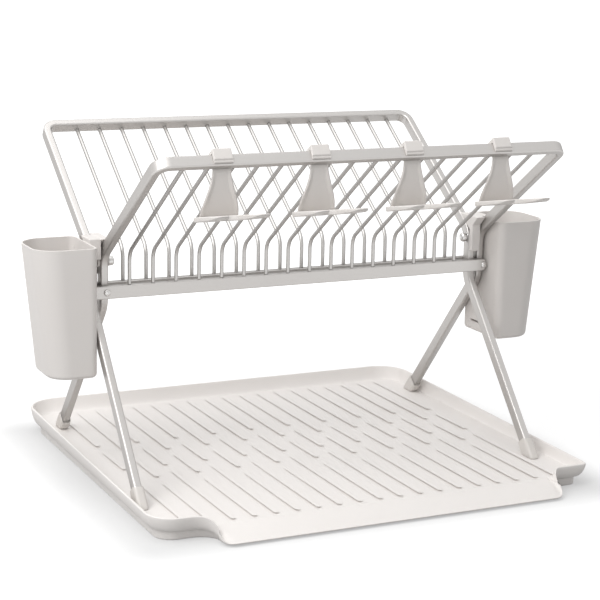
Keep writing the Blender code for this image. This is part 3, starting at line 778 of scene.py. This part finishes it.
def addRib(shape, x, back, front):
    # a low rib with round ends and a soft foot
    sizes = ribShape
    reach = sizes["width"] / 2 + sizes["foot"]
    low = trayShape["floor"] - sizes["sunk"]
    made = bmesh.ops.create_circle(shape, cap_ends=True, segments=12, radius=reach)
    points = made["verts"]
    face = points[0].link_faces[0]
    rear = [v for v in points if v.co.y > 1e-6]
    fore = [v for v in points if v.co.y < -1e-6]
    middle = [v for v in points if v not in rear and v not in fore]
    bmesh.ops.translate(shape, vec=(x, back - reach, low), verts=rear + middle)
    bmesh.ops.translate(shape, vec=(x, front + reach, low), verts=fore)
    middle = (back + front) / 2
    for inward, up in ((0.0006, 0.14), (0.0006, 0.30), (0.0006, 0.30), (0.0006, 0.18), (0.0003, 0.08)):
        bmesh.ops.inset_region(shape, faces=[face], thickness=inward, use_even_offset=True)
        rise = up * (sizes["rise"] + sizes["sunk"])
        ahead = [v for v in face.verts if v.co.y < middle]
        behind = [v for v in face.verts if v.co.y >= middle]
        bmesh.ops.translate(shape, vec=(0, 0, rise), verts=ahead)
        bmesh.ops.translate(shape, vec=(0, 0, rise * sizes["rearShare"]), verts=behind)


tray = buildTray()
for i in range(ribShape["count"]):
    x = (i - (ribShape["count"] - 1) / 2) * ribShape["pitch"]
    first = ribShape["longBreak"] - ribShape["step"] * (i % 2)
    second = first - ribShape["gap"]
    third = second - ribShape["middle"]
    addRib(tray, x, ribShape["back"], first)
    addRib(tray, x, second, third)
    addRib(tray, x, third - ribShape["gap"], ribShape["front"])
trayPlace = Matrix.Translation(trayShape["place"])
addPiece("ribbed_tray", tray, trayMould, "tray", ["drip_tray"], trayPlace, sharp=50)
print("tray made")

cupShape = {
    "width": 0.0622,
    "depth": 0.078,
    "footWidth": 0.0483,
    "footDepth": 0.073,
    "height": 0.131,
    "rimRise": 0.0205,
    "corner": 0.026,
    "footCorner": 0.022,
    "innerCorner": 0.008,
    "wall": 0.002,
    "footRound": 0.004,
    "standoff": 0.0014,
    "slotRise": 0.012,
    "slotHeight": 0.0025,
    "slotLength": 0.036,
    "slotCorner": 0.0012,
    "slotOverrun": 0.002,
    "steps": 10,
}
saddleShape = {
    "rise": 0.025,
    "thick": 0.0064,
    "frontDrop": 0.014,
    "backRise": 0.004,
    "nose": 0.010,
    "edge": 0.0009,
}


def cupRing(height, inset, share):
    # one level of the cup: share is 1 at the rim and 0 at the foot
    sizes = cupShape
    wide = sizes["footWidth"] + (sizes["width"] - sizes["footWidth"]) * share - inset
    deep = (sizes["footDepth"] + (sizes["depth"] - sizes["footDepth"]) * share) / 2 - inset
    large = sizes["footCorner"] + (sizes["corner"] - sizes["footCorner"]) * share - inset
    small = max(sizes["innerCorner"] - inset, 0.002)
    start = rack["halfWidth"] + sizes["standoff"]
    points = []
    corners = ((wide, deep, large, 1), (inset, deep, small, 0))
    corners += ((inset, -deep, small, 1), (wide, -deep, large, 0))
    for across, along, radius, turned in corners:
        alongX = Vector((radius if across == inset else -radius, 0, 0))
        alongY = Vector((0, -radius if along > 0 else radius, 0))
        corner = Vector((start + across, along, height))
        ends = (corner + alongY, corner + alongX) if turned else (corner + alongX, corner + alongY)
        points += bendThrough(ends[0], corner, ends[1], sizes["steps"])
    return points


def buildCup():
    sizes = cupShape
    shape = bmesh.new()
    top = sizes["rimRise"]
    bottom = top - sizes["height"]
    round_ = sizes["footRound"]
    wall = sizes["wall"]
    floor = bottom + wall
    rings = []
    for i in range(5):
        angle = math.pi / 2 * i / 4
        up = round_ * (1 - math.cos(angle))
        rings.append(cupRing(bottom + up, round_ * (1 - math.sin(angle)), up / sizes["height"]))
    for share in (0.35, 0.7):
        rings.append(cupRing(bottom + sizes["height"] * share, 0, share))
    edge = 0.0007
    near = 0.0002
    rim = ((edge, 0), (near, near), (0, edge), (0, wall - edge), (near, wall - near), (edge, wall))
    for down, inset in rim:
        rings.append(cupRing(top - down, inset, 1 - down / sizes["height"]))
    for share in (0.7, 0.35):
        rings.append(cupRing(bottom + sizes["height"] * share, wall, share))
    for i in range(5):
        angle = math.pi / 2 * i / 4
        up = round_ * (1 - math.sin(angle))
        rings.append(cupRing(floor + up, wall + round_ * (1 - math.cos(angle)), up / sizes["height"]))
    ring = startRing(shape, rings[0])
    shape.faces.new(ring)
    for points in rings[1:]:
        ring = growRing(shape, ring, points)
    shape.faces.new(ring)
    return shape


def addSlab(shape, outline, start, stop, edge):
    # a flat shape in the plane across X, drawn out along X with soft edges
    face = shape.faces.new([shape.verts.new((start, y, z)) for y, z in outline])
    made = bmesh.ops.extrude_face_region(shape, geom=[face], use_keep_orig=True)["geom"]
    bmesh.ops.translate(shape, vec=(stop - start, 0, 0), verts=pointsIn(made))
    sides = set(face.verts) | set(pointsIn(made))
    softenEdges(shape, [e for e in shape.edges if e.verts[0] in sides and e.verts[1] in sides], edge, 3)


def addSaddle(shape):
    sizes = saddleShape
    face = rack["memberWide"] / 2 + rack["gap"]
    angle = rack["wingAngle"]
    distance = face * (math.cos(angle) - 1) / math.sin(angle)
    cornerRise = rack["wingBendRise"] + distance * math.cos(angle) + face * math.sin(angle)
    run = (sizes["rise"] - cornerRise) * math.tan(angle) - face
    middle = rack["innerSide"] + rack["memberThick"] / 2 + 0.0017
    wall = rack["halfWidth"] + cupShape["standoff"] + cupShape["wall"] / 2
    front = [
        (-face - sizes["thick"], -sizes["frontDrop"]),
        (-face, -sizes["frontDrop"]),
        (-face, cornerRise),
        (run, sizes["rise"]),
        (-face - sizes["thick"] - sizes["nose"], sizes["rise"]),
        (-face - sizes["thick"], sizes["rise"] - sizes["nose"]),
    ]
    back = [
        (face, sizes["backRise"]),
        (face + sizes["thick"], sizes["backRise"]),
        (face + sizes["thick"], sizes["rise"]),
        (-run, sizes["rise"]),
        (face, cornerRise),
    ]
    addSlab(shape, front, innerFace, middle + 0.0006, sizes["edge"])
    addSlab(shape, back, middle, wall, sizes["edge"])


def cutThrough(shape, cutter):
    # takes a cutter out of a finished shape
    things = []
    for name, part in (("whole", shape), ("cutter", cutter)):
        bmesh.ops.recalc_face_normals(part, faces=part.faces)
        mesh = bpy.data.meshes.new(name)
        part.to_mesh(mesh)
        part.free()
        thing = bpy.data.objects.new(name, mesh)
        bpy.context.scene.collection.objects.link(thing)
        things.append(thing)
    cut = things[0].modifiers.new("cut", "BOOLEAN")
    cut.operation = "DIFFERENCE"
    cut.solver = "EXACT"
    cut.object = things[1]
    bpy.context.view_layer.update()
    made = things[0].evaluated_get(bpy.context.evaluated_depsgraph_get()).to_mesh()
    result = bmesh.new()
    result.from_mesh(made)
    for thing in things:
        bpy.data.objects.remove(thing, do_unlink=True)
    return result


for side, place in (("right", frontPlace), ("left", rearPlace)):
    slot = bmesh.new()
    level = cupShape["rimRise"] - cupShape["height"] + cupShape["slotRise"]
    start = Vector((rack["halfWidth"] + cupShape["standoff"] - cupShape["slotOverrun"], 0, level))
    turn = axesPlace(start, -forwardAxis, upAxis, sideAxis)
    face = roundedFace(slot, cupShape["slotLength"], cupShape["slotHeight"], cupShape["slotCorner"], 4, turn)
    made = bmesh.ops.extrude_face_region(slot, geom=[face], use_keep_orig=True)["geom"]
    bmesh.ops.translate(slot, vec=(3 * cupShape["slotOverrun"], 0, 0), verts=pointsIn(made))
    cup = cutThrough(buildCup(), slot)
    addSaddle(cup)
    addPiece(f"{side}_cup", cup, cupMould, f"{side}_basket", [f"{side}_cutlery_basket"], place, sharp=40)
print("baskets made")

holderShape = {
    "count": 4,
    "pitch": 0.100,
    "clipHalf": 0.0096,
    "lipThick": 0.0033,
    "lipOverlap": 0.0105,
    "topThick": 0.004,
    "backThick": 0.0026,
    "neckHalf": 0.0083,
    "plateHalf": 0.0186,
    "plateThick": 0.0028,
    "plateDrop": 0.0445,
    "plateSetBack": 0.0065,
    "plateBulge": 0.0026,
    "flangeRaise": 0.0012,
    "forkHalf": 0.0285,
    "forkReach": 0.064,
    "forkRise": math.radians(10.0),
    "forkThick": 0.005,
    "forkTop": 0.0006,
    "tipThick": 0.0016,
    "slotHalf": 0.009,
    "slotLength": 0.042,
    "shoulder": 0.014,
    "tipRadius": 0.007,
    "edge": 0.0011,
}


def addClip(shape, x, sizes):
    face = rack["wingLength"] + rack["gap"]
    back = rack["wingLength"] - rack["memberThick"] - rack["gap"]
    over = rack["memberWide"] / 2 + rack["gap"]
    low = over - sizes["lipOverlap"]
    thick = sizes["lipThick"]
    outline = [
        (face, low),
        (face + thick * 0.55, low),
        (face + thick * 0.62, low + 0.0024),
        (face + thick, low + 0.0030),
        (face + thick, over + sizes["topThick"]),
        (back - sizes["backThick"], over + sizes["topThick"]),
        (back - sizes["backThick"], over - 0.0006),
        (back, over - 0.0006),
        (back, over),
        (face, over),
    ]
    flat = shape.faces.new([shape.verts.new(inWing(x - sizes["clipHalf"], u, v)) for u, v in outline])
    made = bmesh.ops.extrude_face_region(shape, geom=[flat], use_keep_orig=True)["geom"]
    far = pointsIn(made)
    bmesh.ops.translate(shape, vec=(2 * sizes["clipHalf"], 0, 0), verts=far)
    far = set(far)
    near = set(flat.verts)
    outer = [outline[i] for i in (1, 3, 4, 5)]
    spots = [inWing(0, u, v) for u, v in outer]

    def isOuter(v):
        return any((Vector((0, v.co.y, v.co.z)) - s).length < 1e-5 for s in spots)

    made = far | near
    long = [e for e in shape.edges if isOuter(e.verts[0]) and isOuter(e.verts[1]) and e.verts[0] in made]
    softenEdges(shape, long, sizes["edge"], 4)


def addPlate(shape, x, sizes):
    # a curved sheet with raised edges, from the clip's back down to the fork
    behind = rack["wingLength"] - rack["memberThick"] - rack["gap"] - sizes["backThick"] / 2
    top = inWing(x, behind, rack["memberWide"] / 2 + 0.0009)
    knee = inWing(x, behind, -rack["memberWide"] / 2)
    hang = Vector((0, sizes["plateSetBack"], -sizes["plateDrop"]))
    heights = (0, 0.12, 0.25, 0.38, 0.5, 0.62, 0.75, 0.84, 0.92, 1.0)
    stations = [(top, 0.0)]
    for share in heights:
        flare = 0.5 - 0.5 * math.cos(math.pi * min(share * 1.02, 1.0))
        bulge = Vector((0, -sizes["plateBulge"] * math.sin(math.pi * share), 0))
        stations.append((knee + hang * share + bulge, flare ** 1.05))
    across = (-1, -0.97, -0.9, -0.82, -0.4, 0, 0.4, 0.82, 0.9, 0.97, 1)
    raises = (0.75, 1, 0.8, 0, 0, 0, 0, 0, 0.8, 1, 0.75)
    made = bmesh.ops.create_grid(shape, x_segments=len(across) - 1, y_segments=len(stations) - 1, size=1)
    grid = sorted(made["verts"], key=lambda v: (round(v.co.y, 4), round(v.co.x, 4)))
    for row, (spot, flare) in enumerate(stations):
        before = stations[max(row - 1, 0)][0]
        after = stations[min(row + 1, len(stations) - 1)][0]
        forward = (after - before).normalized().cross(-sideAxis)
        if forward.y > 0:
            forward = -forward
        half = sizes["neckHalf"] + (sizes["plateHalf"] - sizes["neckHalf"]) * flare
        for column, share in enumerate(across):
            lift = sizes["flangeRaise"] * raises[column] * min(row / 3, 1)
            grid[row * len(across) + column].co = spot + sideAxis * half * share + forward * (lift - 0.0004)
    sheet = list(dict.fromkeys(f for v in grid for f in v.link_faces))
    bmesh.ops.recalc_face_normals(shape, faces=sheet)
    bmesh.ops.solidify(shape, geom=sheet, thickness=sizes["plateThick"] * 0.8)


def addFork(shape, x, sizes):
    behind = rack["wingLength"] - rack["memberThick"] - rack["gap"] - sizes["backThick"] / 2
    knee = inWing(x, behind, -rack["memberWide"] / 2)
    root = knee + Vector((0, sizes["plateSetBack"], -sizes["plateDrop"]))
    forward = Vector((0, -math.cos(sizes["forkRise"]), math.sin(sizes["forkRise"])))
    upward = forward.cross(sideAxis)
    if upward.z < 0:
        upward = -upward
    plate, fork, reach = sizes["plateHalf"], sizes["forkHalf"], sizes["forkReach"]
    tip, slot = sizes["tipRadius"], sizes["slotHalf"]
    end = reach - sizes["slotLength"]
    outer = [Vector((plate, -0.0014, 0))]
    bends = (
        ((plate, 0.0), (fork, 0.002), (fork, sizes["shoulder"]), 6),
        ((fork, reach - 1.6 * tip), (fork, reach), (fork - tip, reach), 6),
        ((slot + tip * 1.3, reach), (slot + tip * 0.5, reach), (slot + tip * 0.35, reach - 1.4 * tip), 5),
        ((slot, end + slot), (slot, end), (0, end), 6),
    )
    for start, bend, stop, steps in bends:
        outer += bendThrough(Vector((*start, 0)), Vector((*bend, 0)), Vector((*stop, 0)), steps)
    whole = outer + [Vector((-p.x, p.y, 0)) for p in reversed(outer[:-1])]
    place = axesPlace(root + upward * (sizes["forkTop"] - sizes["forkThick"]), sideAxis, forward, upward)
    face = shape.faces.new([shape.verts.new(place @ p) for p in whole])
    made = bmesh.ops.extrude_face_region(shape, geom=[face], use_keep_orig=True)["geom"]
    far = pointsIn(made)
    bmesh.ops.translate(shape, vec=upward * sizes["forkThick"], verts=far)
    far = set(far)
    near = set(face.verts)
    for v in near:
        along = min(max(((v.co - root).dot(forward) / reach - 0.68) / 0.32, 0), 1)
        v.co += upward * (sizes["forkThick"] - sizes["tipThick"]) * along ** 1.4
    rims = [e for e in shape.edges if any(set(e.verts) <= level for level in (far, near))]
    softenEdges(shape, rims, sizes["edge"], 3)


for i in range(holderShape["count"]):
    x = (i - (holderShape["count"] - 1) / 2) * holderShape["pitch"]
    shape = bmesh.new()
    addClip(shape, x, holderShape)
    addPlate(shape, x, holderShape)
    addFork(shape, x, holderShape)
    name = f"holder_{i + 1}"
    addPiece(name, shape, holderMould, name, [f"glass_{name}"], frontPlace, sharp=40)
print("glass holders made")

studio = {
    "floorSize": 30.0,
    "floorColour": 0.42,
    "edgeLift": 0.36,
    "edge": (0.235, 0.20, 0),
    # painted shadow: close to the tray's outline the floor's camera-only lift is smaller, which paints a darker
    # contact shadow ring round the tray
    "paintedShadowReach": 0.07,
    "paintedShadowDepth": 0.30,
    "farStart": 0.2,
    "farReach": 0.80,
    "farLift": 0.30,
    "ambient": 0.58,
    "topPower": 21.0,
    "topSize": 2.2,
    "topPlace": (-0.6, 0.2, 2.1),
    "keyPower": 12.5,
    "keySize": 1.1,
    "keyPlace": (-1.15, -0.6, 1.15),
}


def seenDirectly(network):
    # 1 for what the camera, a reflection or a clear piece shows, and 0 for plain lighting
    kinds = ("Is Camera Ray", "Is Glossy Ray", "Is Transmission Ray")
    paths = [network.node("ShaderNodeLightPath", {}, {}, kind) for kind in kinds]
    return paths[0].maths("MAXIMUM", paths[0], paths[1].maths("MAXIMUM", paths[1], paths[2]))


world = bpy.data.worlds.new("studio")
bpy.context.scene.world = world
world.use_nodes = True
world.node_tree.nodes.clear()
sky = Network(world.node_tree)
lighting = sky.node("ShaderNodeBackground", {}, {"Color": (1, 1, 1, 1), "Strength": studio["ambient"]})
whiteness = sky.node("ShaderNodeBackground", {}, {"Color": (1, 1, 1, 1), "Strength": 1.0})
shownSky = sky.node("ShaderNodeMixShader", {}, {0: seenDirectly(sky), 1: lighting, 2: whiteness})
sky.node("ShaderNodeOutputWorld", {}, {"Surface": shownSky}, None)

floorFinish = Finish("floor_white_painted_shadow", "", (studio["floorColour"],) * 3, 0.0, 0.9, 0.0)
# the floor's lift grows with distance from the tray's outline: the near step paints a contact shadow round the
# tray, and the far step evens the far floor out to white
spot = floorFinish.node("ShaderNodeTexCoord", {}, {}, "Object")
for operation, other in (("ABSOLUTE", (0, 0, 0)), ("SUBTRACT", studio["edge"]), ("MAXIMUM", (0, 0, 0))):
    spot = floorFinish.node("ShaderNodeVectorMath", {"operation": operation}, {0: spot, 1: other})
reach = floorFinish.node("ShaderNodeVectorMath", {"operation": "LENGTH"}, {0: spot}, "Value")
lift = studio["edgeLift"]
paintedShadowStep = (0.0, studio["paintedShadowReach"], studio["paintedShadowDepth"])
farStep = (studio["farStart"], studio["farReach"], studio["farLift"])
for start, stop, most in (paintedShadowStep, farStep):
    ramp = {0: reach, "From Min": start, "From Max": stop, "To Min": 0.0, "To Max": most}
    lift = lift + floorFinish.node("ShaderNodeMapRange", {"interpolation_type": "SMOOTHSTEP"}, ramp)
brightness = floorFinish.node("ShaderNodeCombineColor", {}, {0: lift, 1: lift, 2: lift})
shownFloor = floorFinish.node("ShaderNodeEmission", {}, {"Color": brightness, "Strength": 1.0})
plainFloor = Signal(floorFinish, floorFinish.shader.outputs[0])
both = floorFinish.node("ShaderNodeAddShader", {}, {0: plainFloor, 1: shownFloor})
choice = {0: seenDirectly(floorFinish), 1: plainFloor, 2: both}
mixed = floorFinish.node("ShaderNodeMixShader", {}, choice)
floorFinish.tree.links.new(mixed.socket, floorFinish.tree.nodes["Material Output"].inputs["Surface"])
floorShape = bmesh.new()
bmesh.ops.create_grid(floorShape, x_segments=1, y_segments=1, size=studio["floorSize"] / 2)
floorMesh = bpy.data.meshes.new("studio_floor")
floorShape.to_mesh(floorMesh)
floorShape.free()
floorMesh.materials.append(floorFinish.material)
floorThing = bpy.data.objects.new("studio_floor", floorMesh)
bpy.context.scene.collection.objects.link(floorThing)


def addLamp(name, place, aim, size, power):
    lamp = bpy.data.lights.new(name, "AREA")
    lamp.shape = "SQUARE"
    lamp.size = size
    lamp.energy = power
    holder = bpy.data.objects.new(name, lamp)
    bpy.context.scene.collection.objects.link(holder)
    holder.location = place
    holder.rotation_euler = (Vector(aim) - Vector(place)).to_track_quat("-Z", "Y").to_euler()


addLamp("top_lamp", studio["topPlace"], (0, 0, 0.1), studio["topSize"], studio["topPower"])
addLamp("key_lamp", studio["keyPlace"], (-0.05, 0, 0.22), studio["keySize"], studio["keyPower"])

view = {
    "place": (-0.7568, -1.5983, 0.5558),
    "yaw": math.radians(25.302),
    "pitch": math.radians(12.213),
    "roll": math.radians(1.105),
    "lens": 103.4,
}
ahead = Vector(
    (
        math.sin(view["yaw"]) * math.cos(view["pitch"]),
        math.cos(view["yaw"]) * math.cos(view["pitch"]),
        -math.sin(view["pitch"]),
    )
)
across = Vector((math.cos(view["yaw"]), -math.sin(view["yaw"]), 0))
above = across.cross(ahead)
tilted = across * math.cos(view["roll"]) + above * math.sin(view["roll"])
above = above * math.cos(view["roll"]) - across * math.sin(view["roll"])
lens = bpy.data.cameras.new("camera")
lens.sensor_width = 36
lens.lens = view["lens"]
lens.clip_start = 0.05
lens.clip_end = 50
camera = bpy.data.objects.new("camera", lens)
bpy.context.scene.collection.objects.link(camera)
camera.matrix_world = Matrix.Translation(view["place"]) @ Matrix((tilted, above, -ahead)).transposed().to_4x4()
bpy.context.scene.camera = camera
bpy.context.scene.view_settings.view_transform = "Standard"
print("studio and camera set")
